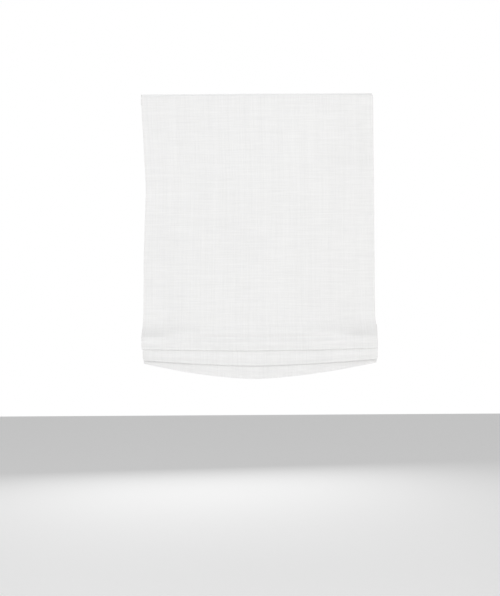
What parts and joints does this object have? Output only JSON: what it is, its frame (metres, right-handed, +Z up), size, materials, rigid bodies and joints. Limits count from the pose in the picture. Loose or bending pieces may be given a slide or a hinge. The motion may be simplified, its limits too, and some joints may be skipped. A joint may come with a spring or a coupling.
{
  "type": "window shade",
  "caption": "White linen-look relaxed Roman shade with a headrail, soft stacked folds, a curved hem and a cordless spring lift.",
  "frame": {"origin": "centre of the headrail's top face, where the shade is fixed under the head of a window opening", "axes": "+Z up, out of the headrail's top face and along the drop; +X along the headrail; the cloth's face looks along -Y"},
  "size_m": [0.8762, 0.0967, 1.074],
  "materials": {
    "linen": "plain linen-look weave, matt",
    "white_enamel": "baked white enamel",
    "white_plastic": "moulded, fine satin",
    "grey_plastic": "moulded, satin",
    "ring_plastic": "milky, glossy",
    "fastener_tape": "woven tape with hooks or loops",
    "lift_cord": "fine white braid",
    "steel": "bright drawn",
    "spring_steel": "blued strip",
    "aluminium": "mill finish"
  },
  "bodies": {
    "rail": {"headrail": "white_enamel", "end_cap_left": "white_plastic", "end_cap_right": "white_plastic", "hook_strip": "fastener_tape", "loop_strip": "fastener_tape", "face_cloth": "linen", "spool_cradle_left": "white_plastic", "spool_cradle_right": "white_plastic", "motor_frame": "white_plastic", "motor_cover": "grey_plastic", "storage_pin": "steel", "motor_spring": "spring_steel", "lift_cord_left": "lift_cord", "lift_cord_right": "lift_cord"},
    "lift_shaft": {"lift_shaft": "steel", "cord_spool_left": "grey_plastic", "cord_spool_right": "grey_plastic", "drive_drum": "grey_plastic", "shaft_keeper_left": "grey_plastic", "shaft_keeper_right": "grey_plastic"},
    "storage_drum": {"storage_drum": "grey_plastic"},
    "gathered_stack": {"gathered_ring_0_left": "ring_plastic", "gathered_ring_0_right": "ring_plastic", "gathered_ring_1_left": "ring_plastic", "gathered_ring_1_right": "ring_plastic", "gathered_ring_2_left": "ring_plastic", "gathered_ring_2_right": "ring_plastic", "gathered_ring_3_left": "ring_plastic", "gathered_ring_3_right": "ring_plastic", "spreader_bar": "aluminium", "bar_tip_left": "white_plastic", "bar_tip_right": "white_plastic", "cord_anchor_left": "white_plastic", "cord_anchor_right": "white_plastic"},
    "upper_row_1": {"upper_ring_1_left": "ring_plastic", "upper_ring_1_right": "ring_plastic"},
    "upper_row_2": {"upper_ring_2_left": "ring_plastic", "upper_ring_2_right": "ring_plastic"},
    "upper_row_3": {"upper_ring_3_left": "ring_plastic", "upper_ring_3_right": "ring_plastic"}
  },
  "joints": [
    {"name": "lift", "type": "slide", "parent": "rail", "child": "gathered_stack", "axis": [0, 0, 1], "range_m": [-0.7, 0.4], "deforming": ["face_cloth", "lift_cord_left", "lift_cord_right", "motor_spring"]},
    {"name": "shaft_turn", "type": "hinge", "parent": "rail", "child": "lift_shaft", "pos_m": [0, -0.0042, -0.019], "axis": [-1, 0, 0], "range_deg": [-2995.1, 1712.3]},
    {"name": "storage_turn", "type": "hinge", "parent": "rail", "child": "storage_drum", "pos_m": [0, 0.0118, -0.019], "axis": [-1, 0, 0], "range_deg": [-1712.3, 2995.1]},
    {"name": "upper_row_1_slide", "type": "slide", "parent": "rail", "child": "upper_row_1", "axis": [0, 0, 1], "range_m": [-0.6, 0.3433]},
    {"name": "upper_row_2_slide", "type": "slide", "parent": "rail", "child": "upper_row_2", "axis": [0, 0, 1], "range_m": [-0.3853, 0.2206]},
    {"name": "upper_row_3_slide", "type": "slide", "parent": "rail", "child": "upper_row_3", "axis": [0, 0, 1], "range_m": [-0.1562, 0.0897]}
  ],
  "couplings": [
    {"joint": "shaft_turn", "follows": "lift", "rad_per_m": 74.627},
    {"joint": "storage_turn", "follows": "lift", "rad_per_m": -74.627},
    {"joint": "upper_row_1_slide", "follows": "lift", "ratio": 0.85571},
    {"joint": "upper_row_2_slide", "follows": "lift", "ratio": 0.54894},
    {"joint": "upper_row_3_slide", "follows": "lift", "ratio": 0.22177}
  ]
}
